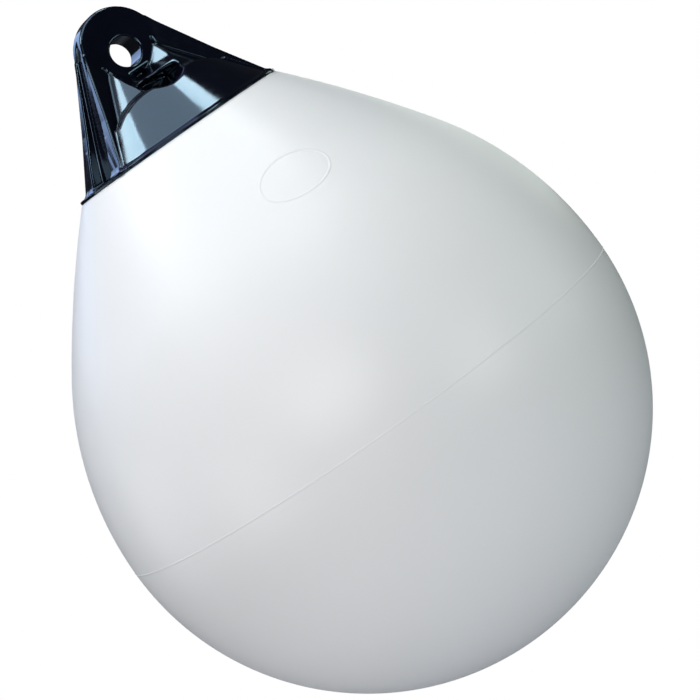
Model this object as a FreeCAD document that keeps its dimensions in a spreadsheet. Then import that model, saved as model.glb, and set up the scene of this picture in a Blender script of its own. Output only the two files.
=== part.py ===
import FreeCAD, Part
import math
import os
import Sketcher
from FreeCAD import Vector, Placement, Rotation

# Ball fender: a hollow, pear-shaped white body with a solid rope-eye moulding on its neck.
# Millimetres. +Z runs along the fender's own axis towards the eye, the eye's bore runs along Y,
# and the origin is at the centre of that bore.

doc = FreeCAD.newDocument("ball_fender")

DIMS = [
    # body
    ("ball_radius", 270.0),        # largest radius, at the parting line
    ("parting_drop", 406.5),       # parting line below the eye's centre
    ("shoulder_radius", 327.0),    # arc above the parting line
    ("neck_radius", 1180.0),       # nearly straight arc up to the cap
    ("rim_radius", 111.2),         # body at the cap's edge
    ("rim_drop", 94.6),            # cap's edge below the eye's centre
    ("ball_wall", 3.5),
    ("neck_wall", 6.0),            # closed end of the neck under the cap
    ("bead_section", 0.9),         # parting line bead
    ("bead_rise", 0.45),
    ("oval_half_width", 36.6),     # blank oval ring on the shoulder
    ("oval_half_depth", 25.2),
    ("oval_line", 1.6),
    ("oval_rise", 0.5),
    ("oval_drop", 182.0),
    # cap
    ("cap_rim_radius", 111.0),
    ("lip_rise", 3.0),
    ("skirt_apex", 44.1),
    ("skirt_slope", 0.8),
    ("core_apex", 31.2),
    ("core_slope", 0.829),
    ("ledge_radius", 66.0),
    ("ledge_drop", 110.4),
    ("ledge_turn", 21.0),
    ("low_skirt_drop", 57.0),
    ("crown_radius", 37.6),
    ("crown_rise", 9.1),
    ("side_at_eye", 45.462),        # half width of the ear at the bore's height
    ("side_slope", 0.4555),
    ("front_at_eye", 24.96),       # half depth of the four ribs at the bore's height
    ("front_slope", 0.4436),
    ("shoulder_rise", 17.6),       # where the front turns upright
    ("crown_depth", 11.0),
    ("rib_toe_in", 0.5265),        # inward slant of the ribs' front faces, in plan
    ("ear_half", 19.2),            # half thickness at the bore
    ("eye_bore", 30.0),
    ("ring_radius", 28.0),
    ("ear_low", 2.0),              # the ear plate's lower edge below the bore's centre
    ("edge_round", 2.5),
    ("bore_round", 2.2),
    ("ring_round", 3.0),
    ("kink_round", 45.0),
    ("ring_drop", 22.7),
    ("pocket_half", 28.0),
    ("pocket_drop", 23.0),
    ("web_half", 7.0),
    ("channel_apex", 35.5),
    ("channel_radius", 29.5),
    ("channel_drop", 53.0),
    ("channel_at_eye", 40.6),
    ("channel_slope", 0.385),
    # inflation valve
    ("valve_drop", 168.0),
    ("valve_boss_radius", 19.0),
    ("valve_boss_depth", 17.0),
    ("seat_flange", 15.0),
    ("seat_flange_rise", 2.6),
    ("seat_radius", 10.5),
    ("seat_length", 17.0),
    ("valve_bore", 6.6),
    ("seal_mean", 7.9),
    ("seal_section", 1.0),
    ("plug_head", 10.4),
    ("plug_head_rise", 3.2),
    ("plug_shank", 6.5),
    ("plug_length", 13.0),
    ("slot_width", 2.2),
    ("slot_depth", 1.6),
]
D = dict(DIMS)
sheet = doc.addObject("Spreadsheet::Sheet", "dims")
for row, (alias, value) in enumerate(DIMS, start=1):
    sheet.set("A%d" % row, alias)
    sheet.set("B%d" % row, repr(value))
    sheet.setAlias("B%d" % row, alias)
doc.recompute()


def value(expr):
    """A formula in the sheet's aliases as a number, for a sketch's starting shape."""
    names = dict(D)
    names.update(sqrt=math.sqrt, cos=lambda a: math.cos(math.radians(a)), sin=lambda a: math.sin(math.radians(a)))
    out, word = "", ""
    for ch in expr + " ":
        if ch.isalnum() or ch in "_.":
            word += ch
        else:
            out += repr(names[word]) if word in D else word
            out += ch
            word = ""
    return arithmetic(out, names)


def arithmetic(text, names):
    """Evaluates + - * / and brackets."""
    tokens, number = [], ""
    for ch in text.replace(" ", ""):
        if ch.isdigit() or ch == "." or ch == "e":
            number += ch
        else:
            if number:
                tokens.append(float(number))
                number = ""
            tokens.append(ch)
    if number:
        tokens.append(float(number))
    place = [0]

    def atom():
        tok = tokens[place[0]]
        place[0] += 1
        if tok == "-":
            return -atom()
        if tok == "(":
            got = total()
            place[0] += 1
            return got
        return tok

    def product():
        got = atom()
        while place[0] < len(tokens) and tokens[place[0]] in ("*", "/"):
            op = tokens[place[0]]
            place[0] += 1
            right = atom()
            got = got * right if op == "*" else got / right
        return got

    def total():
        got = product()
        while place[0] < len(tokens) and tokens[place[0]] in ("+", "-"):
            op = tokens[place[0]]
            place[0] += 1
            right = product()
            got = got + right if op == "+" else got - right
        return got

    return total()


def bound(expr):
    """The same formula with each alias read from the sheet."""
    out, word = "", ""
    for ch in expr + " ":
        if ch.isalnum() or ch in "_.":
            word += ch
        else:
            out += "dims." + word if word in D else word
            out += ch
            word = ""
    return out.strip()


def new_body(name):
    return doc.addObject("PartDesign::Body", name)


def origin_plane(body, role):
    return [f for f in body.Origin.OriginFeatures if f.Role == role][0]


def new_sketch(body, name, role):
    sk = body.newObject("Sketcher::SketchObject", name)
    sk.AttachmentSupport = [(origin_plane(body, role), "")]
    sk.MapMode = "FlatFace"
    return sk


def fix(sk, geo, point, x_expr, y_expr):
    """Holds one sketch point at formulas in the sheet, measured from the origin."""
    for kind, expr in (("DistanceX", x_expr), ("DistanceY", y_expr)):
        if expr is None:
            continue
        number = value(expr)
        if abs(number) < 1e-9:
            axis = -2 if kind == "DistanceX" else -1
            sk.addConstraint(Sketcher.Constraint("PointOnObject", geo, point, axis))
            continue
        index = sk.addConstraint(Sketcher.Constraint(kind, -1, 1, geo, point, number))
        sk.setExpression("Constraints[%d]" % index, bound(expr))


def polygon(body, name, role, corners):
    """A closed sketch of straight lines whose corners are formulas in the sheet."""
    sk = new_sketch(body, name, role)
    pts = [Vector(value(x), value(y), 0) for x, y in corners]
    n = len(pts)
    for i in range(n):
        sk.addGeometry(Part.LineSegment(pts[i], pts[(i + 1) % n]), False)
    for i in range(n):
        sk.addConstraint(Sketcher.Constraint("Coincident", i, 2, (i + 1) % n, 1))
    for i, (x, y) in enumerate(corners):
        fix(sk, i, 1, x, y)
    return sk


def revolve(body, sk, name, axis_role="Z_Axis"):
    rev = body.newObject("PartDesign::Revolution", name)
    rev.Profile = sk
    rev.ReferenceAxis = (origin_plane(body, axis_role), [""])
    rev.Angle = 360.0
    return rev


def pad_both(body, sk, name, length_expr):
    pad = body.newObject("PartDesign::Pad", name)
    pad.Profile = sk
    pad.Midplane = True
    pad.Length = value(length_expr)
    pad.setExpression("Length", bound(length_expr))
    return pad


def fuse(name, shapes):
    obj = doc.addObject("Part::MultiFuse", name)
    obj.Shapes = shapes
    return obj


def common(name, shapes):
    obj = doc.addObject("Part::MultiCommon", name)
    obj.Shapes = shapes
    return obj


def cut(name, base, tool):
    obj = doc.addObject("Part::Cut", name)
    obj.Base = base
    obj.Tool = tool
    return obj


def mirror(name, source, normal):
    obj = doc.addObject("Part::Mirroring", name)
    obj.Source = source
    obj.Base = Vector(0, 0, 0)
    obj.Normal = normal
    return obj


# ---------------------------------------------------------------- body of the fender
# Half profile: a quarter circle below the parting line, a wider arc above it and a long flat arc
# up the neck, all tangent, with the same three arcs one wall thickness inside.
ball = new_body("ball_shell")
sk = new_sketch(ball, "ball_profile", "XZ_Plane")
rb, zp, rs, rn = D["ball_radius"], -D["parting_drop"], D["shoulder_radius"], D["neck_radius"]
rr, zr, w = D["rim_radius"], -D["rim_drop"], D["ball_wall"]
c2 = rb - rs
lo, hi = math.radians(5), math.radians(80)
for _ in range(200):
    mid = 0.5 * (lo + hi)
    cx = c2 + (rs - rn) * math.cos(mid)
    cz = zp + (rs - rn) * math.sin(mid)
    if math.hypot(rr - cx, zr - cz) > rn:
        hi = mid
    else:
        lo = mid
turn = 0.5 * (lo + hi)
cx = c2 + (rs - rn) * math.cos(turn)
cz = zp + (rs - rn) * math.sin(turn)
end = math.atan2(zr - cz, rr - cx)
end_in = math.asin((zr - D["neck_wall"] - cz) / (rn - w))
zaxis = Vector(0, 0, 1)


def arc(cx_, cy_, r, a, b):
    return Part.ArcOfCircle(Part.Circle(Vector(cx_, cy_, 0), zaxis, r), a, b)


sk.addGeometry(arc(0, zp, rb, -math.pi / 2, 0), False)                 # 0
sk.addGeometry(arc(c2, zp, rs, 0, turn), False)                        # 1
sk.addGeometry(arc(cx, cz, rn, turn, end), False)                      # 2
xin = cx + (rn - w) * math.cos(end_in)
sk.addGeometry(Part.LineSegment(Vector(rr, zr, 0), Vector(0, zr, 0)), False)                             # 3
sk.addGeometry(Part.LineSegment(Vector(0, zr, 0), Vector(0, zr - D["neck_wall"], 0)), False)             # 4
sk.addGeometry(Part.LineSegment(Vector(0, zr - D["neck_wall"], 0), Vector(xin, zr - D["neck_wall"], 0)), False)  # 5
sk.addGeometry(arc(cx, cz, rn - w, turn, end_in), False)               # 6
sk.addGeometry(arc(c2, zp, rs - w, 0, turn), False)                    # 7
sk.addGeometry(arc(0, zp, rb - w, -math.pi / 2, 0), False)             # 8
sk.addGeometry(Part.LineSegment(Vector(0, zp - rb + w, 0), Vector(0, zp - rb, 0)), False)                # 9
C = Sketcher.Constraint
sk.addConstraint(C("PointOnObject", 0, 3, -2))
i = sk.addConstraint(C("DistanceY", -1, 1, 0, 3, zp)); sk.setExpression("Constraints[%d]" % i, "-dims.parting_drop")
i = sk.addConstraint(C("Radius", 0, rb)); sk.setExpression("Constraints[%d]" % i, "dims.ball_radius")
sk.addConstraint(C("PointOnObject", 0, 1, -2))
i = sk.addConstraint(C("DistanceY", -1, 1, 0, 2, zp)); sk.setExpression("Constraints[%d]" % i, "-dims.parting_drop")
sk.addConstraint(C("Tangent", 0, 2, 1, 1))
i = sk.addConstraint(C("Radius", 1, rs)); sk.setExpression("Constraints[%d]" % i, "dims.shoulder_radius")
sk.addConstraint(C("Tangent", 1, 2, 2, 1))
i = sk.addConstraint(C("Radius", 2, rn)); sk.setExpression("Constraints[%d]" % i, "dims.neck_radius")
fix(sk, 2, 2, "rim_radius", "-rim_drop")
sk.addConstraint(C("Coincident", 2, 2, 3, 1))
sk.addConstraint(C("PointOnObject", 3, 2, -2))
sk.addConstraint(C("Horizontal", 3))
sk.addConstraint(C("Coincident", 3, 2, 4, 1))
sk.addConstraint(C("Vertical", 4))
i = sk.addConstraint(C("Distance", 4, D["neck_wall"])); sk.setExpression("Constraints[%d]" % i, "dims.neck_wall")
sk.addConstraint(C("Coincident", 4, 2, 5, 1))
sk.addConstraint(C("Horizontal", 5))
sk.addConstraint(C("Coincident", 5, 2, 6, 2))
sk.addConstraint(C("Coincident", 6, 3, 2, 3))
sk.addConstraint(C("Coincident", 7, 3, 1, 3))
sk.addConstraint(C("Coincident", 8, 3, 0, 3))
i = sk.addConstraint(C("Radius", 8, rb - w)); sk.setExpression("Constraints[%d]" % i, "dims.ball_radius - dims.ball_wall")
sk.addConstraint(C("PointOnObject", 8, 1, -2))
sk.addConstraint(C("Tangent", 8, 2, 7, 1))
sk.addConstraint(C("Tangent", 7, 2, 6, 1))
sk.addConstraint(C("Coincident", 8, 1, 9, 1))
sk.addConstraint(C("Coincident", 9, 2, 0, 1))
revolve(ball, sk, "ball_turned")

# Parting line: a fine half-round bead round the widest section.
bead = doc.addObject("Part::Torus", "parting_bead")
bead.setExpression("Radius1", "dims.ball_radius + dims.bead_rise - dims.bead_section")
bead.setExpression("Radius2", "dims.bead_section")
bead.setExpression("Placement.Base.z", "-dims.parting_drop")

# Blank oval ring on the front of the shoulder: an elliptical band raised a little from the skin.
oval_out = doc.addObject("Part::Ellipse", "oval_outer_line")
oval_out.setExpression("MajorRadius", "dims.oval_half_width")
oval_out.setExpression("MinorRadius", "dims.oval_half_depth")
oval_in = doc.addObject("Part::Ellipse", "oval_inner_line")
oval_in.setExpression("MajorRadius", "dims.oval_half_width - dims.oval_line")
oval_in.setExpression("MinorRadius", "dims.oval_half_depth - dims.oval_line")

doc.recompute()


def neck_point(z):
    """Radius of the neck at height z, and the angle of its outward normal above the horizontal."""
    ang = math.asin((z - cz) / rn)
    return cx + rn * math.cos(ang), ang


r_oval, tilt = neck_point(-D["oval_drop"])
prisms = []
for line, name in ((oval_out, "oval_outer"), (oval_in, "oval_inner")):
    prism = doc.addObject("Part::Extrusion", name)
    prism.Base = line
    prism.DirMode = "Custom"
    prism.Dir = Vector(0, 0, 1)
    prism.LengthFwd = 24.0
    prism.LengthRev = 24.0
    prism.Solid = True
    prisms.append(prism)
band = cut("oval_band", prisms[0], prisms[1])
# The ellipse lies on the shoulder's front, long axis level, facing along the skin's normal.
out_dir = Vector(0, -math.cos(tilt), math.sin(tilt))
up_dir = Vector(0, math.sin(tilt), math.cos(tilt))
band.Placement = Placement(Vector(0, -r_oval, -D["oval_drop"]), Rotation(Vector(1, 0, 0), up_dir, out_dir, "ZXY"))

# The skin, one rise further out, between the equator and the rim, limits the band's height.
skin = new_body("oval_limit")
sk = new_sketch(skin, "oval_limit_profile", "XZ_Plane")
rise = D["oval_rise"]
z_lo, z_hi = -D["oval_drop"] - 60.0, -D["oval_drop"] + 60.0
a_lo, a_hi = math.asin((z_lo - cz) / rn), math.asin((z_hi - cz) / rn)
p_lo = Vector(cx + (rn + rise) * math.cos(a_lo), cz + (rn + rise) * math.sin(a_lo), 0)
p_hi = Vector(cx + (rn + rise) * math.cos(a_hi), cz + (rn + rise) * math.sin(a_hi), 0)
q_lo = Vector(cx + (rn - 1.5) * math.cos(a_lo), cz + (rn - 1.5) * math.sin(a_lo), 0)
q_hi = Vector(cx + (rn - 1.5) * math.cos(a_hi), cz + (rn - 1.5) * math.sin(a_hi), 0)
sk.addGeometry(arc(cx, cz, rn + rise, a_lo, a_hi), False)
sk.addGeometry(Part.LineSegment(p_hi, q_hi), False)
sk.addGeometry(arc(cx, cz, rn - 1.5, a_lo, a_hi), False)
sk.addGeometry(Part.LineSegment(q_lo, p_lo), False)
for a, pa, b, pb in ((0, 2, 1, 1), (1, 2, 2, 2), (2, 1, 3, 1), (3, 2, 0, 1)):
    sk.addConstraint(C("Coincident", a, pa, b, pb))
sk.addConstraint(C("Coincident", 2, 3, 0, 3))
i = sk.addConstraint(C("Radius", 0, rn + rise)); sk.setExpression("Constraints[%d]" % i, "dims.neck_radius + dims.oval_rise")
i = sk.addConstraint(C("Radius", 2, rn - 1.5)); sk.setExpression("Constraints[%d]" % i, "dims.neck_radius - 1.5")
revolve(skin, sk, "oval_limit_turned")
oval_ring = common("oval_ring", [skin, band])

# Valve boss: the wall is thick at the back of the shoulder, where the valve seat is moulded in.
r_valve, lean = neck_point(-D["valve_drop"])
valve_out = Vector(0, math.cos(lean), math.sin(lean))
valve_turn = Rotation(Vector(0, 0, 1), valve_out)
valve_at = Vector(0, r_valve, -D["valve_drop"])


def along_valve(depth):
    """Placement whose +Z leaves the skin at the valve, its zero that far below the skin."""
    return Placement(valve_at - valve_out * depth, valve_turn)


boss = doc.addObject("Part::Cylinder", "valve_boss")
boss.setExpression("Radius", "dims.valve_boss_radius")
boss.setExpression("Height", "dims.valve_boss_depth - 1.0")
boss.Placement = along_valve(D["valve_boss_depth"])
ball_full = fuse("ball_with_details", [ball, bead, oval_ring, boss])
seat_hole = new_body("seat_hole")
sk = polygon(seat_hole, "seat_hole_profile", "XZ_Plane", [
    ("0", "-(seat_length + 2)"), ("seat_radius", "-(seat_length + 2)"), ("seat_radius", "-seat_flange_rise"),
    ("seat_flange", "-seat_flange_rise"), ("seat_flange", "6"), ("0", "6")])
revolve(seat_hole, sk, "seat_hole_turned")
seat_hole.Placement = along_valve(0.0)
ball_body = cut("ball_body_solid", ball_full, seat_hole)
ball_body.Label = "ball_body"

# ---------------------------------------------------------------- inflation valve
valve_seat = new_body("valve_seat")
sk = polygon(valve_seat, "valve_seat_profile", "XZ_Plane", [
    ("valve_bore", "-seat_length"), ("seat_radius", "-seat_length"), ("seat_radius", "-seat_flange_rise"),
    ("seat_flange", "-seat_flange_rise"), ("seat_flange", "0"), ("plug_head + 0.4", "0"),
    ("plug_head + 0.4", "-(seat_flange_rise - 0.4)"), ("valve_bore", "-(seat_flange_rise - 0.4)")])
revolve(valve_seat, sk, "valve_seat_turned")
valve_seat.Placement = along_valve(0.0)

valve_seal = doc.addObject("Part::Torus", "valve_seal")
valve_seal.setExpression("Radius1", "dims.seal_mean")
valve_seal.setExpression("Radius2", "dims.seal_section")
valve_seal.Placement = along_valve(D["seat_flange_rise"] - 0.4 - D["seal_section"])

plug_turned = new_body("plug_turned")
sk = polygon(plug_turned, "valve_plug_profile", "XZ_Plane", [
    ("0", "-plug_length"), ("plug_shank - 1", "-plug_length"), ("plug_shank", "-(plug_length - 1)"),
    ("plug_shank", "-(seat_flange_rise - 0.4 - 2 * seal_section)"),
    ("plug_head", "-(seat_flange_rise - 0.4 - 2 * seal_section)"),
    ("plug_head", "-(seat_flange_rise - 0.4 - 2 * seal_section) + plug_head_rise - 0.8"),
    ("plug_head - 0.8", "-(seat_flange_rise - 0.4 - 2 * seal_section) + plug_head_rise"),
    ("0", "-(seat_flange_rise - 0.4 - 2 * seal_section) + plug_head_rise")])
revolve(plug_turned, sk, "valve_plug_turned")
slot = doc.addObject("Part::Box", "plug_slot")
slot.setExpression("Length", "dims.slot_width")
slot.setExpression("Width", "2 * dims.plug_head - 5")
slot.setExpression("Height", "dims.slot_depth + 2")
slot.setExpression("Placement.Base.x", "-dims.slot_width / 2")
slot.setExpression("Placement.Base.y", "-(dims.plug_head - 2.5)")
slot.setExpression("Placement.Base.z", "-(dims.seat_flange_rise - 0.4 - 2 * dims.seal_section) + dims.plug_head_rise - dims.slot_depth")
valve_plug = cut("valve_plug_solid", plug_turned, slot)
valve_plug.Label = "valve_plug"
valve_plug.Placement = along_valve(0.0)

# ---------------------------------------------------------------- rope-eye moulding
BASE = "-rim_drop"
SHOULDER = "front_at_eye - front_slope * shoulder_rise + 0.15"


def rounded(name, source, groups):
    """The same solid with edges rounded; each group is a radius alias and a test on an edge's points."""
    doc.recompute()
    picked = []
    for index, edge in enumerate(source.Shape.Edges, start=1):
        first, last = edge.ParameterRange
        pts = [edge.valueAt(first + (last - first) * k / 6.0) for k in range(7)]
        for alias, test in groups:
            if edge.Length > 1.0 and all(test(p) for p in pts):
                picked.append((index, D[alias], D[alias]))
                break
    obj = doc.addObject("Part::Fillet", name)
    obj.Base = source
    obj.Edges = picked
    return obj


def side_at(z):
    return D["side_at_eye"] - D["side_slope"] * z


# Ear seen from the front: straight sides and a round crown.
front_outline = new_body("front_outline")
sk = new_sketch(front_outline, "front_outline_sketch", "XZ_Plane")
half_low = value("side_at_eye + side_slope * rim_drop")
ang = math.atan(D["side_slope"])
tx = D["crown_radius"] * math.cos(ang)
tz = D["crown_rise"] + D["crown_radius"] * math.sin(ang)
sk.addGeometry(Part.LineSegment(Vector(-half_low, zr, 0), Vector(half_low, zr, 0)), False)
sk.addGeometry(Part.LineSegment(Vector(half_low, zr, 0), Vector(tx, tz, 0)), False)
sk.addGeometry(arc(0, D["crown_rise"], D["crown_radius"], ang, math.pi - ang), False)
sk.addGeometry(Part.LineSegment(Vector(-tx, tz, 0), Vector(-half_low, zr, 0)), False)
fix(sk, 0, 1, "-(side_at_eye + side_slope * rim_drop)", BASE)
fix(sk, 0, 2, "side_at_eye + side_slope * rim_drop", BASE)
sk.addConstraint(C("Coincident", 0, 2, 1, 1))
sk.addConstraint(C("Tangent", 1, 2, 2, 1))
sk.addConstraint(C("Tangent", 2, 2, 3, 1))
sk.addConstraint(C("Coincident", 3, 2, 0, 1))
fix(sk, 2, 3, "0", "crown_rise")
pad_both(front_outline, sk, "front_outline_pad", "260")

# The ribs below the shoulder: a prism with the same straight sides.
rib_prism = new_body("rib_prism")
sk = polygon(rib_prism, "rib_prism_sketch", "XZ_Plane", [
    ("-(side_at_eye + side_slope * rim_drop)", BASE), ("side_at_eye + side_slope * rim_drop", BASE),
    ("side_at_eye - side_slope * shoulder_rise", "shoulder_rise"),
    ("-(side_at_eye - side_slope * shoulder_rise)", "shoulder_rise")])
pad_both(rib_prism, sk, "rib_prism_pad", "260")

# Front of each rib: a plane that leaves the rib's outer edge and falls back towards the middle.
toe_in = D["rib_toe_in"]
n_leg = Vector(-toe_in, -1.0, D["front_slope"] - D["side_slope"] * toe_in)
n_leg.normalize()
c_leg = Vector(value("side_at_eye - side_slope * shoulder_rise"),
               -value("front_at_eye - front_slope * shoulder_rise"), D["shoulder_rise"])
leg_tools = []
for sx in (1, -1):
    for sy in (1, -1):
        n = Vector(n_leg.x * sx, n_leg.y * sy, n_leg.z)
        c = Vector(c_leg.x * sx, c_leg.y * sy, c_leg.z)
        across = Vector(0, 0, 1).cross(n)
        across.normalize()
        upward = n.cross(across)
        face_tool = doc.addObject("Part::Box", "rib_face_tool")
        face_tool.Length, face_tool.Width, face_tool.Height = 400.0, 400.0, 120.0
        face_tool.Placement = Placement(c - across * 200 - upward * 200, Rotation(across, upward, n, "ZXY"))
        quarter = doc.addObject("Part::Box", "rib_quarter")
        quarter.Length, quarter.Width, quarter.Height = 200.0, 200.0, 400.0
        quarter.Placement = Placement(Vector(0 if sx > 0 else -200, -200 if sy > 0 else 0, -250), Rotation())
        leg_tools.append(common("rib_face_cut", [face_tool, quarter]))
ribs = cut("ribs", rib_prism, fuse("rib_face_cuts", leg_tools))


def on_rib_edge(p):
    return (abs(abs(p.x) - side_at(p.z)) < 0.02
            and abs(abs(p.y) - (D["front_at_eye"] - D["front_slope"] * p.z)) < 0.02)


ribs_round = rounded("ribs_round", ribs, [("edge_round", on_rib_edge)])

# Conical core between the ribs. It ends at the ribs' outer sides.
core_cone = new_body("core_cone")
sk = polygon(core_cone, "core_profile", "XZ_Plane", [
    ("0", BASE), ("core_slope * (core_apex + rim_drop)", BASE), ("0", "core_apex")])
revolve(core_cone, sk, "core_turned")
core = common("core", [core_cone, rib_prism])

# Skirt: a larger cone, which also ends at the ribs' outer sides. In front and behind its top
# edge is arched.
skirt_cone = new_body("skirt_cone")
sk = polygon(skirt_cone, "skirt_profile", "XZ_Plane", [
    ("0", BASE), ("skirt_slope * (skirt_apex + rim_drop)", BASE), ("0", "skirt_apex")])
revolve(skirt_cone, sk, "skirt_turned")
limits = []
for sign in (1, -1):
    arch = doc.addObject("Part::Cylinder", "skirt_arch")
    arch.setExpression("Radius", "dims.ledge_radius")
    arch.Height = 400.0
    a = math.radians(D["ledge_turn"])
    d = Vector(sign * math.sin(a), math.cos(a), 0)
    arch.Placement = Placement(Vector(0, 0, -D["ledge_drop"]) - d * 200, Rotation(Vector(0, 0, 1), d))
    limits.append(arch)
low = doc.addObject("Part::Cylinder", "skirt_low")
low.Radius = 130.0
low.setExpression("Height", "dims.rim_drop - dims.low_skirt_drop")
low.setExpression("Placement.Base.z", "-dims.rim_drop")
limits.append(low)
skirt = common("skirt", [skirt_cone, fuse("skirt_limit", limits), rib_prism])

# Round rim that carries all of it.
rim = new_body("rim")
sk = polygon(rim, "rim_profile", "XZ_Plane", [
    ("0", BASE), ("cap_rim_radius - 0.6", BASE), ("cap_rim_radius", "-rim_drop + 0.6"), ("cap_rim_radius", "-rim_drop + lip_rise - 0.8"),
    ("cap_rim_radius - 0.8", "-rim_drop + lip_rise"), ("0", "-rim_drop + lip_rise")])
revolve(rim, sk, "rim_turned")

lower = fuse("cap_lower", [ribs_round, core, skirt, rim])

# Pocket under the eye, front and back: a slot with a round floor, down to a web in the middle.
pocket = new_body("pocket")
sk = new_sketch(pocket, "pocket_sketch", "XZ_Plane")
ph, pd = D["pocket_half"], -D["pocket_drop"]
sk.addGeometry(arc(0, pd, ph, math.pi, 2 * math.pi), False)
sk.addGeometry(Part.LineSegment(Vector(ph, pd, 0), Vector(ph, 60, 0)), False)
sk.addGeometry(Part.LineSegment(Vector(ph, 60, 0), Vector(-ph, 60, 0)), False)
sk.addGeometry(Part.LineSegment(Vector(-ph, 60, 0), Vector(-ph, pd, 0)), False)
fix(sk, 0, 3, "0", "-pocket_drop")
sk.addConstraint(C("Tangent", 0, 2, 1, 1))
sk.addConstraint(C("Coincident", 1, 2, 2, 1))
sk.addConstraint(C("Coincident", 2, 2, 3, 1))
sk.addConstraint(C("Tangent", 3, 2, 0, 1))
sk.addConstraint(C("Vertical", 1))
sk.addConstraint(C("Vertical", 3))
sk.addConstraint(C("Horizontal", 2))
i = sk.addConstraint(C("Radius", 0, ph)); sk.setExpression("Constraints[%d]" % i, "dims.pocket_half")
sk.addConstraint(C("DistanceY", -1, 1, 1, 2, 60.0))
pad_both(pocket, sk, "pocket_pad", "300")
web = doc.addObject("Part::Box", "web_keep")
web.Length, web.Height = 300.0, 300.0
web.setExpression("Width", "2 * dims.web_half")
web.Placement = Placement(Vector(-150, -D["web_half"], -150), Rotation())
pocketed = cut("cap_pocketed", lower, cut("pocket_cut", pocket, web))

# Rope bore, straight through the ear along Y.
bore = doc.addObject("Part::Cylinder", "eye_bore_tool")
bore.setExpression("Radius", "dims.eye_bore / 2")
bore.Height = 200.0
bore.Placement = Placement(Vector(0, 100, 0), Rotation(Vector(1, 0, 0), 90))
pocketed_bored = cut("cap_pocketed_bored", pocketed, bore)

# Ear: a flat plate across the top, and the ring round the bore that hangs below it.
ear_slab = new_body("ear_slab")
sk = polygon(ear_slab, "ear_slab_sketch", "YZ_Plane", [
    ("-(ear_half + 1)", "-ring_drop"), ("ear_half + 1", "-ring_drop"), (SHOULDER, "shoulder_rise"),
    ("crown_depth", "crown_rise + crown_radius + 0.5"), ("-crown_depth", "crown_rise + crown_radius + 0.5"),
    ("-(" + SHOULDER + ")", "shoulder_rise")])
pad_both(ear_slab, sk, "ear_slab_pad", "200")
ear_slab_round = rounded("ear_slab_round", ear_slab, [
    ("kink_round", lambda p: abs(p.z - D["shoulder_rise"]) < 0.02 and abs(p.y) > 10)])
ring_disc = doc.addObject("Part::Cylinder", "ring_disc")
ring_disc.setExpression("Radius", "dims.ring_radius")
ring_disc.Height = 100.0
ring_disc.Placement = Placement(Vector(0, 50, 0), Rotation(Vector(1, 0, 0), 90))
ear_top = doc.addObject("Part::Box", "ear_top")
ear_top.Length, ear_top.Width, ear_top.Height = 200.0, 100.0, 80.0
ear_top.Placement = Placement(Vector(-100, -50, -D["ear_low"]), Rotation())
ear_plain = cut("ear_plain", common("ear_plate", [ear_slab_round, front_outline, fuse("ear_region", [ring_disc, ear_top])]), bore)


def on_bore_rim(p):
    return abs(math.hypot(p.x, p.z) - D["eye_bore"] / 2) < 0.02 and abs(p.y) > 10


def on_ear_edge(p):
    on_side = abs(abs(p.x) - side_at(p.z)) < 0.02 and p.z < tz + 0.02
    on_crown = abs(math.hypot(p.x, p.z - D["crown_rise"]) - D["crown_radius"]) < 0.02 and p.z > tz - 0.02
    return (on_side or on_crown) and p.z > -D["ear_low"] - 0.01 and abs(p.y) > 10


def on_ring_edge(p):
    on_flat = abs(p.z + D["ring_drop"]) < 0.02
    on_disc = abs(math.hypot(p.x, p.z) - D["ring_radius"]) < 0.02 and p.z < -D["ear_low"] + 0.01
    return (on_flat or on_disc) and abs(p.y) > 15


ear = rounded("ear_round", ear_plain, [("bore_round", on_bore_rim), ("edge_round", on_ear_edge), ("ring_round", on_ring_edge)])
cap_solid = fuse("cap_solid", [pocketed_bored, ear])

# Channel down each side, between the front and the rear rib: pointed at the top, round below.
channel = new_body("channel")
sk = new_sketch(channel, "channel_sketch", "YZ_Plane")
ca, cr, cd = D["channel_apex"], D["channel_radius"], -D["channel_drop"]
ha = math.asin(cr / (ca - cd))
ty, tz2 = cr * math.cos(ha), cd + cr * math.sin(ha)
sk.addGeometry(arc(0, cd, cr, math.pi - ha, 2 * math.pi + ha), False)
sk.addGeometry(Part.LineSegment(Vector(ty, tz2, 0), Vector(0, ca, 0)), False)
sk.addGeometry(Part.LineSegment(Vector(0, ca, 0), Vector(-ty, tz2, 0)), False)
fix(sk, 0, 3, "0", "-channel_drop")
i = sk.addConstraint(C("Radius", 0, cr)); sk.setExpression("Constraints[%d]" % i, "dims.channel_radius")
sk.addConstraint(C("Tangent", 0, 2, 1, 1))
sk.addConstraint(C("Coincident", 1, 2, 2, 1))
sk.addConstraint(C("Tangent", 2, 2, 0, 1))
fix(sk, 1, 2, "0", "channel_apex")
pad_both(channel, sk, "channel_pad", "320")
floor = new_body("channel_floor")
sk = polygon(floor, "channel_floor_sketch", "XZ_Plane", [
    ("-(channel_at_eye + channel_slope * 120)", "-120"), ("channel_at_eye + channel_slope * 120", "-120"),
    ("channel_at_eye - channel_slope * 80", "80"), ("-(channel_at_eye - channel_slope * 80)", "80")])
pad_both(floor, sk, "channel_floor_pad", "200")
channel_cut = cut("channel_cut", channel, floor)
cap_channelled = cut("cap_channelled", cap_solid, channel_cut)

eye_cap = cap_channelled
eye_cap.Label = "eye_cap"

doc.recompute()

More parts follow.
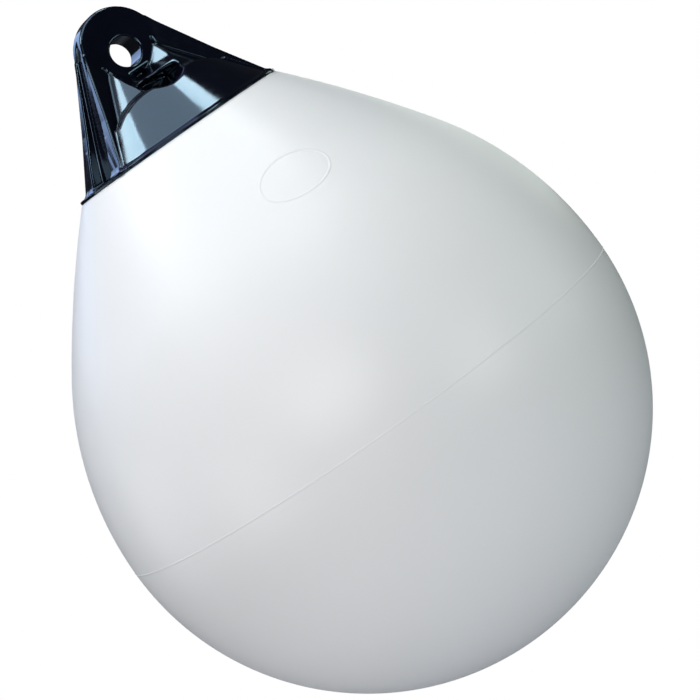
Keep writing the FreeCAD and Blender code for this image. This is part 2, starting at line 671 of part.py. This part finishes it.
# ---------------------------------------------------------------- check and write
NODES = [ball_body, eye_cap, valve_seat, valve_plug, valve_seal]
bad = [o.Name for o in doc.Objects if "Invalid" in o.State or "Error" in o.State]
if bad:
    raise RuntimeError("objects not recomputed: %s" % ", ".join(bad))
os.makedirs("parts", exist_ok=True)
for node in NODES:
    shape = node.Shape
    if shape.isNull() or not shape.isValid():
        raise RuntimeError("bad shape: " + node.Label)
    print("%-12s solids %d volume %.1f cm3 box %s" % (
        node.Label, len(shape.Solids), shape.Volume / 1000.0,
        [round(v, 1) for v in (shape.BoundBox.XMin, shape.BoundBox.YMin, shape.BoundBox.ZMin,
                               shape.BoundBox.XMax, shape.BoundBox.YMax, shape.BoundBox.ZMax)]))
    shape.exportStep(os.path.join("parts", node.Label + ".step"))
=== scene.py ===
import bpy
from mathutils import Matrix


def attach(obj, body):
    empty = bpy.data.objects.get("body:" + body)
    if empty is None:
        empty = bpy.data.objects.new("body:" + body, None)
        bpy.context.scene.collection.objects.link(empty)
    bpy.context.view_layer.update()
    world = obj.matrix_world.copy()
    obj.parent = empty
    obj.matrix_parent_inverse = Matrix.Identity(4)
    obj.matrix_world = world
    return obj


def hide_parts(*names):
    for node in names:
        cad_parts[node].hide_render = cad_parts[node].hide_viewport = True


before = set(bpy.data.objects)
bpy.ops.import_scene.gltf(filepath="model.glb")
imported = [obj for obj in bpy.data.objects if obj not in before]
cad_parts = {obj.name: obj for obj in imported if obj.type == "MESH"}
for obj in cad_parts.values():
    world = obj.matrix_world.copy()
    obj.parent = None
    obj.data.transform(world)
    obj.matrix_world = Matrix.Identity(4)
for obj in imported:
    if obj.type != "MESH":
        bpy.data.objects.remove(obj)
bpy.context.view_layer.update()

import math

import bpy
import numpy as np
from mathutils import Matrix, Vector

scene = bpy.context.scene
MM = 0.001


# ---------------------------------------------------------------- rounding --
def union_round(a, b, r):
    """Union of two distance fields, the inside corner filled to radius r."""
    return np.maximum(r, np.minimum(a, b)) - np.hypot(
        np.maximum(r - a, 0), np.maximum(r - b, 0)
    )


def inter_round(a, b, r):
    """Intersection of two distance fields, the outside corner rounded to r."""
    return np.minimum(-r, np.maximum(a, b)) + np.hypot(
        np.maximum(r + a, 0), np.maximum(r + b, 0)
    )


def soft_max(a, b, k):
    """Greater of two fields whose surfaces meet at a shallow angle."""
    h = np.maximum(k - np.abs(a - b), 0) / k
    return np.maximum(a, b) + h * h * k / 4


# ------------------------------------------------------------- eye moulding --
SIDE_SLOPE, SIDE_AT_EYE = 0.4555, 45.46
SIDE_LONG = math.hypot(1, SIDE_SLOPE)
SIDE_TURN = math.atan(SIDE_SLOPE)
CROWN_RISE, CROWN_RADIUS = 9.1, 37.56
SHOULDER = 17.6
BASE = -94.6
FLUTE_ANGLE = math.atan(0.33)


def cap_field(p):
    """Distance field of the eye moulding in millimetres, negative inside."""
    x, y, z = np.abs(p[..., 0]), np.abs(p[..., 1]), p[..., 2]

    side = (x + SIDE_SLOPE * z - SIDE_AT_EYE) / SIDE_LONG
    low_side = (x + 0.4955 * z - SIDE_AT_EYE + 1.72) / 1.116
    side = np.where(z < -43.0, np.minimum(side, low_side), side)
    crown = np.hypot(x, z - CROWN_RISE) - CROWN_RADIUS
    outline = np.where(np.arctan2(z - CROWN_RISE, x) > SIDE_TURN, crown, side)
    slab = soft_max(
        (y - 17.30 - 0.07196 * (SHOULDER - z)) * 0.9974,
        (y - 17.30 + 0.2128 * (z - SHOULDER)) * 0.9781,
        1.8,
    )
    ring = np.maximum(np.hypot(x, z) - 28.0, -22.7 - z)
    plate = np.minimum(-2.0 - z, 29.5 - x)
    ring = union_round(plate, ring, 1.5)
    soft = 5.0 - 3.8 * np.clip((x - 17.0) / 8.0, 0, 1)
    ear = inter_round(inter_round(outline, slab, 2.5), ring, soft)

    toe = (y - 0.5265 * x + 0.20378 * z - 1.025) / 1.148
    ribs = np.maximum(inter_round(side, toe, 2.5), z - SHOULDER)
    cone = (np.hypot(x, y) - 0.8 * (44.1 - z)) * 0.7809
    core = (np.hypot(x, y) - 0.829 * (31.2 - z)) * 0.7699
    core = np.maximum(core, side + 0.05)
    turn = math.radians(21)
    ledge = np.hypot(x * math.cos(turn) - y * math.sin(turn), z + 110.4) - 66.0
    ledge = ledge * 0.92 + cone * 0.39
    skirt = inter_round(cone, np.minimum(ledge, z + 57.0), 1.2)
    skirt = np.maximum(skirt, side + 0.05)

    lower = union_round(ribs, core, 1.6)
    lower = union_round(lower, skirt, 1.0)

    arch = np.where(z > -23.0, x, np.hypot(x, z + 23.0)) - 28.0
    fade = np.clip((z + 39.5) / 8.5, 0, 1)
    flare = 1.0 * np.clip(34.7 - 1.1 * (z + 20.0) - y, 0, 22)
    flare = flare * fade * fade * (3 - 2 * fade)
    arch = (arch + flare) * 0.74
    pocket = inter_round(arch, 7.0 - y, 3.0)
    lower = inter_round(lower, -pocket, 1.2)
    body = union_round(lower, ear, 2.0)

    lip = inter_round(np.hypot(x, y) - 111.0, z + 91.2, 0.8)
    side_on = np.clip((x - 1.2 * y) / 20.0, 0, 1)
    body = union_round(body, lip, 2.6 + 3.4 * side_on)

    mouth = np.maximum((y - 16.0 + 0.22 * z) * 0.977, (y - 0.8 * (33.0 - z)) * 0.781)
    mouth = soft_max(mouth, y - 31.5, 3.0)
    floor = (40.6 - 0.385 * z - x) / math.hypot(1, 0.385)
    flute = inter_round(mouth, np.maximum(floor, -89.0 - z), 2.4)
    body = inter_round(body, -flute, 2.0)

    body = inter_round(body, 15.0 - np.hypot(x, z), 2.2)
    return inter_round(body, BASE - z, 0.6)


def cap_slope(p, step=0.05):
    """Gradient of the field by central differences."""
    g = np.empty_like(p)
    for axis in range(3):
        d = np.zeros(3)
        d[axis] = step
        g[..., axis] = (cap_field(p + d) - cap_field(p - d)) / (2 * step)
    return g


def surface_net(field, low, high, h):
    """One vertex for each grid cell that the surface crosses, one quad for
    each grid edge that it crosses."""
    counts = [int(math.ceil((b - a) / h)) + 1 for a, b in zip(low, high)]
    axes = [a + h * np.arange(n) for a, n in zip(low, counts)]
    grid = np.stack(np.meshgrid(*axes, indexing="ij"), -1)
    value = field(grid)
    inside = value < 0
    total = np.zeros(tuple(n - 1 for n in counts) + (3,))
    hits = np.zeros(tuple(n - 1 for n in counts))
    corner = [(i, j, k) for i in (0, 1) for j in (0, 1) for k in (0, 1)]

    def at(a, c):
        return a[tuple(slice(o, a.shape[i] - 1 + o) for i, o in enumerate(c))]

    for c in corner:
        for axis in range(3):
            if c[axis]:
                continue
            e = tuple(1 if i == axis else c[i] for i in range(3))
            va, vb = at(value, c), at(value, e)
            cross = (va < 0) != (vb < 0)
            t = np.where(cross, va / np.where(cross, va - vb, 1), 0)
            for i in range(3):
                total[..., i] += cross * (c[i] + (t if i == axis else 0))
            hits += cross
    used = hits > 0
    index = np.full(used.shape, -1)
    index[used] = np.arange(int(used.sum()))
    cell = np.argwhere(used)
    verts = np.array(low) + h * (cell + total[used] / hits[used][:, None])
    quads = []
    for axis in range(3):
        b, c = [(1, 2), (2, 0), (0, 1)][axis]
        first = [slice(1, n - 1) for n in counts]
        second = list(first)
        first[axis] = slice(0, counts[axis] - 1)
        second[axis] = slice(1, counts[axis])
        s0, s1 = inside[tuple(first)], inside[tuple(second)]
        spots = np.argwhere(s0 != s1)
        sign = s0[tuple(spots.T)]
        base = spots + 1
        base[:, axis] -= 1
        ring = []
        for db, dc in ((-1, -1), (0, -1), (0, 0), (-1, 0)):
            q = base.copy()
            q[:, b] += db
            q[:, c] += dc
            ring.append(index[tuple(q.T)])
        quad = np.stack(ring, 1)
        quad[~sign] = quad[~sign][:, ::-1]
        quads.append(quad)
    return verts, np.concatenate(quads)


def mesh_object(name, verts, faces, normals=None):
    mesh = bpy.data.meshes.new(name)
    mesh.from_pydata(verts.tolist(), [], faces)
    mesh.validate()
    mesh.update()
    mesh.polygons.foreach_set("use_smooth", [True] * len(mesh.polygons))
    if normals is not None:
        mesh.normals_split_custom_set_from_vertices(normals.tolist())
    obj = bpy.data.objects.new(name, mesh)
    scene.collection.objects.link(obj)
    return obj


cap_verts, cap_quads = surface_net(
    cap_field, (-114.1, -114.1, -96.05), (114.1, 114.1, 48.3), 1.34
)
for _ in range(4):
    slope = cap_slope(cap_verts)
    size = np.maximum((slope**2).sum(1), 0.25)
    move = (cap_field(cap_verts) / size)[:, None] * slope
    cap_verts = cap_verts - np.clip(move, -0.8, 0.8)
cap_normals = cap_slope(cap_verts, 0.8)
cap_normals /= np.linalg.norm(cap_normals, axis=1)[:, None]
eye_moulding = mesh_object(
    "eye_moulding", cap_verts * MM, cap_quads.tolist(), cap_normals
)


# --------------------------------------------------------------------- ball --
BALL, PARTING = 270.0, -406.5
SHOULDER_R, NECK_R = 327.0, 1180.0
RIM, RIM_Z = 111.2, -94.6
low_turn, high_turn = math.radians(5), math.radians(80)
for _ in range(200):
    mid = (low_turn + high_turn) / 2
    cx = BALL - SHOULDER_R + (SHOULDER_R - NECK_R) * math.cos(mid)
    cz = PARTING + (SHOULDER_R - NECK_R) * math.sin(mid)
    if math.hypot(RIM - cx, RIM_Z - cz) > NECK_R:
        high_turn = mid
    else:
        low_turn = mid
TURN = mid
NECK_X, NECK_Z = cx, cz
END = math.asin((RIM_Z - NECK_Z) / NECK_R)


def ball_profile():
    """(radius, z) from the neck's rim down to the bottom pole."""
    points = []
    for a in np.linspace(END, TURN, 46, endpoint=False):
        points.append((NECK_X + NECK_R * math.cos(a), NECK_Z + NECK_R * math.sin(a)))
    for a in np.linspace(TURN, 0, 74, endpoint=False):
        points.append(
            (
                BALL - SHOULDER_R + SHOULDER_R * math.cos(a),
                PARTING + SHOULDER_R * math.sin(a),
            )
        )
    for a in np.linspace(0, math.pi / 2, 112)[:-1]:
        points.append((BALL * math.cos(a), PARTING - BALL * math.sin(a)))
    points = [p for p in points if abs(p[1] - PARTING) > 3.2]
    for dz in (-3.0, -2.2, -1.6, -1.2, -0.9, -0.65, -0.4, -0.2, 0, 0.2, 0.4, 0.65, 0.9, 1.2, 1.6, 2.2, 3.0):
        bead = 0.36 * math.exp(-((dz / 0.62) ** 2) * 1.4)
        points.append((ball_radius(PARTING + dz) + bead, PARTING + dz))
    return sorted(points, key=lambda p: -p[1])


def ball_radius(z):
    if z < PARTING:
        return math.sqrt(max(BALL**2 - (z - PARTING) ** 2, 0))
    if z < PARTING + SHOULDER_R * math.sin(TURN):
        return BALL - SHOULDER_R + math.sqrt(SHOULDER_R**2 - (z - PARTING) ** 2)
    return NECK_X + math.sqrt(NECK_R**2 - (z - NECK_Z) ** 2)


def neck_lean(z):
    return math.asin((z - NECK_Z) / NECK_R)


def ball_mesh():
    profile = ball_profile()
    around = 288
    verts, faces = [], []
    top = len(verts)
    verts.append((0, 0, RIM_Z - 0.2))
    rings = [(RIM - 30, RIM_Z - 0.2), (RIM - 0.8, RIM_Z - 0.2)] + profile
    starts = []
    for r, z in rings:
        starts.append(len(verts))
        for i in range(around):
            a = 2 * math.pi * i / around
            verts.append((r * math.sin(a), -r * math.cos(a), z))
    bottom = len(verts)
    verts.append((0, 0, PARTING - BALL))
    for i in range(around):
        j = (i + 1) % around
        faces.append((top, starts[0] + i, starts[0] + j))
        for s, t in zip(starts, starts[1:]):
            faces.append((s + i, t + i, t + j, s + j))
        faces.append((starts[-1] + i, bottom, starts[-1] + j))
    # a plain raised oval on the front of the neck, as a low rounded strip
    # with its foot just under the skin
    zc = -182.0
    rc = ball_radius(zc)
    lean = neck_lean(zc)
    centre = np.array((0, -rc, zc))
    out = np.array((0, -math.cos(lean), math.sin(lean)))
    up = np.array((0, math.sin(lean), math.cos(lean)))
    across = np.array((1.0, 0, 0))
    section = [(-1.45, -0.3), (-1.3, 0.0), (-0.9, 0.16), (-0.45, 0.29), (0, 0.34), (0.45, 0.29), (0.9, 0.16), (1.3, 0.0), (1.45, -0.3)]
    steps = 176
    loops = []
    for i in range(steps):
        t = 2 * math.pi * i / steps
        a, b = 35.8 * math.cos(t), 24.4 * math.sin(t)
        na, nb = math.cos(t) / 35.8, math.sin(t) / 24.4
        n = math.hypot(na, nb)
        na, nb = na / n, nb / n
        loop = []
        for w, rise in section:
            q = centre + (a + na * w) * across + (b + nb * w) * up
            s = 0.0
            for _ in range(12):
                p = q + s * out
                s -= math.hypot(p[0], p[1]) - ball_radius(p[2])
            p = q + s * out + rise * out
            loop.append(len(verts))
            verts.append(tuple(p))
        loops.append(loop)
    for i in range(steps):
        a, b = loops[i], loops[(i + 1) % steps]
        for k in range(len(a)):
            m = (k + 1) % len(a)
            faces.append((a[k], a[m], b[m], b[k]))
    return np.array(verts, float) * MM, faces


ball_verts, ball_faces = ball_mesh()
ball = mesh_object("ball_skin", ball_verts, ball_faces)


# ---------------------------------------------------------------- materials --
def material(name):
    mat = bpy.data.materials.new(name)
    mat.use_nodes = True
    nodes, links = mat.node_tree.nodes, mat.node_tree.links
    shader = nodes["Principled BSDF"]
    coords = nodes.new("ShaderNodeTexCoord")
    return mat, nodes, links, shader, coords.outputs["Object"]


def noise(nodes, links, source, scale, detail=3.0, roughness=0.5, distortion=0.0):
    n = nodes.new("ShaderNodeTexNoise")
    n.inputs["Scale"].default_value = scale
    n.inputs["Detail"].default_value = detail
    n.inputs["Roughness"].default_value = roughness
    n.inputs["Distortion"].default_value = distortion
    links.new(source, n.inputs["Vector"])
    return n.outputs["Fac"]


def ramp(nodes, links, source, stops):
    r = nodes.new("ShaderNodeValToRGB")
    while len(r.color_ramp.elements) < len(stops):
        r.color_ramp.elements.new(0.5)
    for e, (pos, colour) in zip(r.color_ramp.elements, stops):
        e.position = pos
        e.color = (*colour, 1)
    links.new(source, r.inputs["Fac"])
    return r.outputs["Color"]


def spread(nodes, links, source, low, high, start=0.3, stop=0.7):
    m = nodes.new("ShaderNodeMapRange")
    m.inputs["From Min"].default_value = start
    m.inputs["From Max"].default_value = stop
    m.inputs["To Min"].default_value = low
    m.inputs["To Max"].default_value = high
    links.new(source, m.inputs["Value"])
    return m.outputs["Result"]


def bump(nodes, links, source, strength, distance, below=None):
    b = nodes.new("ShaderNodeBump")
    b.inputs["Strength"].default_value = strength
    b.inputs["Distance"].default_value = distance
    links.new(source, b.inputs["Height"])
    if below is not None:
        links.new(below, b.inputs["Normal"])
    return b.outputs["Normal"]


def vinyl_white(name, tone):
    mat, nodes, links, shader, at = material(name)
    wide = noise(nodes, links, at, 5.0, 2.0, 0.45)
    tint = ramp(
        nodes, links, wide,
        [(0.30, tuple(c * 0.975 for c in tone)), (0.70, tone)],
    )
    links.new(tint, shader.inputs["Base Color"])
    scuff = noise(nodes, links, at, 14.0, 2.0, 0.5)
    links.new(spread(nodes, links, scuff, 0.35, 0.40), shader.inputs["Roughness"])
    swell = bump(nodes, links, noise(nodes, links, at, 9.0, 1.0), 0.12, 0.004)
    skin = bump(nodes, links, noise(nodes, links, at, 620.0, 2.0), 0.10, 0.0003, swell)
    links.new(skin, shader.inputs["Normal"])
    shader.inputs["IOR"].default_value = 1.48
    return mat, shader


def vinyl_black(name, dark, light, rough):
    mat, nodes, links, shader, at = material(name)
    wide = noise(nodes, links, at, 26.0, 3.0, 0.5)
    links.new(
        ramp(nodes, links, wide, [(0.30, dark), (0.72, light)]),
        shader.inputs["Base Color"],
    )
    fine = noise(nodes, links, at, 90.0, 4.0, 0.6)
    links.new(
        spread(nodes, links, fine, rough, rough + 0.05), shader.inputs["Roughness"]
    )
    flow = bump(nodes, links, noise(nodes, links, at, 24.0, 1.5, 0.4), 0.10, 0.003)
    skin = bump(nodes, links, noise(nodes, links, at, 900.0, 2.0), 0.05, 0.0002, flow)
    links.new(skin, shader.inputs["Normal"])
    return mat, shader


ball_mat, ball_shader = vinyl_white("body_white_vinyl", (0.852, 0.860, 0.858))
cap_mat, cap_shader = vinyl_black(
    "cap_black_vinyl", (0.0016, 0.0019, 0.0045), (0.003, 0.0035, 0.008), 0.07
)
cap_shader.inputs["IOR"].default_value = 1.55
# painted reflection colour: the cyan-blue specular tint stands in for the colour of the studio lights seen
# in the cap's glossy reflections
cap_shader.inputs["Specular Tint"].default_value = (0.50, 0.78, 1.0, 1)
seat_mat, seat_shader = vinyl_white("valve_seat_vinyl", (0.80, 0.80, 0.79))
plug_mat, plug_shader = vinyl_black(
    "valve_plug_nylon", (0.012, 0.012, 0.013), (0.024, 0.024, 0.026), 0.34
)
seal_mat, seal_shader = vinyl_black(
    "valve_seal_rubber", (0.010, 0.010, 0.010), (0.018, 0.018, 0.018), 0.55
)

eye_moulding.data.materials.append(cap_mat)
ball.data.materials.append(ball_mat)
for node, mat in (
    ("valve_seat", seat_mat),
    ("valve_plug", plug_mat),
    ("valve_seal", seal_mat),
):
    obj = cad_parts[node]
    obj.data.materials.clear()
    obj.data.materials.append(mat)

for obj, node, slot in (
    (eye_moulding, "eye_cap", "cap"),
    (ball, "ball_body", "body"),
):
    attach(obj, "root")
    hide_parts(node)


# ------------------------------------------------------------------- camera --
eye = Vector((-0.9588, -2.4978, -0.1471))
aim = Vector((0.0172, -0.0066, -0.3524))
roll = math.radians(35.0)
forward = (aim - eye).normalized()
level = forward.cross(Vector((0, 0, 1))).normalized()
above = level.cross(forward)
right = math.cos(roll) * level - math.sin(roll) * above
upward = math.sin(roll) * level + math.cos(roll) * above
camera_data = bpy.data.cameras.new("photo_camera")
camera_data.lens = 145.2
camera_data.sensor_width = 36
camera_data.clip_start, camera_data.clip_end = 0.05, 60
camera_data.shift_x, camera_data.shift_y = -1.0 / 700, 0.5 / 700
camera = bpy.data.objects.new("photo_camera", camera_data)
scene.collection.objects.link(camera)
camera.matrix_world = Matrix.Translation(eye) @ Matrix(
    (
        (right.x, upward.x, -forward.x),
        (right.y, upward.y, -forward.y),
        (right.z, upward.z, -forward.z),
    )
).to_4x4()
scene.camera = camera
scene.view_settings.view_transform = "Standard"
scene.view_settings.look = "None"


# -------------------------------------------------------------------- lights --
CENTRE = Vector((0, 0, -0.33))


def softbox(name, azimuth, elevation, distance, width, height, radiance, colour):
    """A rectangular soft light that faces the fender. Azimuth 0 is in front
    of it, and positive azimuths are to the right."""
    a, e = math.radians(azimuth), math.radians(elevation)
    out = Vector(
        (math.sin(a) * math.cos(e), -math.cos(a) * math.cos(e), math.sin(e))
    )
    data = bpy.data.lights.new(name, "AREA")
    data.shape = "RECTANGLE"
    data.size, data.size_y = width, height
    data.energy = radiance * math.pi * width * height
    data.color = colour
    lamp = bpy.data.objects.new(name, data)
    scene.collection.objects.link(lamp)
    lamp.location = CENTRE + out * distance
    lamp.rotation_mode = "QUATERNION"
    lamp.rotation_quaternion = out.to_track_quat("Z", "Y")
    lamp.visible_camera = False
    return lamp


for name, azimuth, elevation, distance, width, height, radiance, colour in (
    ("front_key", -30, 13, 3.4, 2.1, 1.0, 5.7, (1.0, 0.985, 1.0)),
    ("left_fill", -76, -1, 2.8, 1.5, 1.2, 3.2, (0.99, 0.98, 1.0)),
    ("left_strip", -105, 65, 2.2, 0.46, 0.45, 15.5, (0.95, 1.0, 1.0)),
    ("right_strip", 66, 66, 2.2, 0.42, 0.34, 15.5, (0.95, 1.0, 1.0)),
    ("top_fill", -21, 78, 2.2, 1.62, 1.0, 3.4, (0.88, 0.92, 1.0)),
    ("core_left", -142, 56, 2.4, 0.55, 0.6, 3.0, (0.75, 0.80, 1.0)),
    ("flank_left", -165, 27, 2.6, 2.2, 0.40, 1.9, (0.42, 0.60, 1.0)),
    ("back_left", -118, 4, 2.8, 1.6, 1.1, 1.7, (0.92, 0.96, 1.0)),
    ("back_right", 130, 8, 2.8, 1.8, 0.9, 1.15, (0.88, 1.0, 0.89)),
    ("right_fill", 66, -4, 2.8, 1.4, 0.9, 1.5, (0.86, 1.0, 0.86)),
    ("front_right", 26, -6, 2.8, 1.2, 0.7, 5.7, (0.945, 1.0, 0.945)),
    ("top_front", -45, 50, 2.6, 1.3, 0.6, 0.7, (1.0, 1.0, 1.0)),
    ("top_right", 12, 58, 2.4, 1.0, 0.5, 2.9, (1.0, 1.0, 1.0)),
    ("low_front", 28, -38, 2.3, 0.5, 0.4, 2.6, (0.35, 0.55, 1.0)),
    ("back_low", 176, -20, 2.6, 1.0, 0.5, 0.2, (0.62, 0.64, 1.0)),
    ("back_top", 167, 60, 2.4, 0.9, 0.7, 1.4, (0.45, 0.45, 1.0)),
):
    softbox(name, azimuth, elevation, distance, width, height, radiance, colour)

world = bpy.data.worlds.new("studio")
scene.world = world
world.use_nodes = True
wn, wl = world.node_tree.nodes, world.node_tree.links
wn.clear()
out = wn.new("ShaderNodeOutputWorld")
mix = wn.new("ShaderNodeMixShader")
path = wn.new("ShaderNodeLightPath")
room = wn.new("ShaderNodeBackground")
room.inputs["Color"].default_value = (0.80, 0.86, 1.0, 1)
room.inputs["Strength"].default_value = 0.03
paper = wn.new("ShaderNodeBackground")
paper.inputs["Color"].default_value = (1, 1, 1, 1)
paper.inputs["Strength"].default_value = 1.0
wl.new(path.outputs["Is Camera Ray"], mix.inputs["Fac"])
wl.new(room.outputs["Background"], mix.inputs[1])
wl.new(paper.outputs["Background"], mix.inputs[2])
wl.new(mix.outputs["Shader"], out.inputs["Surface"])

# --------------------------------------------------------------------- floor --
floor_mesh = bpy.data.meshes.new("floor")
ring = [
    (7.0 * math.cos(2 * math.pi * i / 96), 7.0 * math.sin(2 * math.pi * i / 96), -2.2)
    for i in range(96)
]
floor_mesh.from_pydata(ring, [], [tuple(range(96))])
floor = bpy.data.objects.new("floor", floor_mesh)
scene.collection.objects.link(floor)
floor_mat = bpy.data.materials.new("floor_pale")
floor_mat.use_nodes = True
fn, fl = floor_mat.node_tree.nodes, floor_mat.node_tree.links
fn.clear()
f_out = fn.new("ShaderNodeOutputMaterial")
f_mix = fn.new("ShaderNodeMixShader")
f_path = fn.new("ShaderNodeLightPath")
f_pale = fn.new("ShaderNodeBsdfDiffuse")
f_pale.inputs["Color"].default_value = (0.80, 0.80, 0.80, 1)
f_white = fn.new("ShaderNodeEmission")
f_white.inputs["Strength"].default_value = 1.0
fl.new(f_path.outputs["Is Camera Ray"], f_mix.inputs["Fac"])
fl.new(f_pale.outputs["BSDF"], f_mix.inputs[1])
fl.new(f_white.outputs["Emission"], f_mix.inputs[2])
fl.new(f_mix.outputs["Shader"], f_out.inputs["Surface"])
floor_mesh.materials.append(floor_mat)
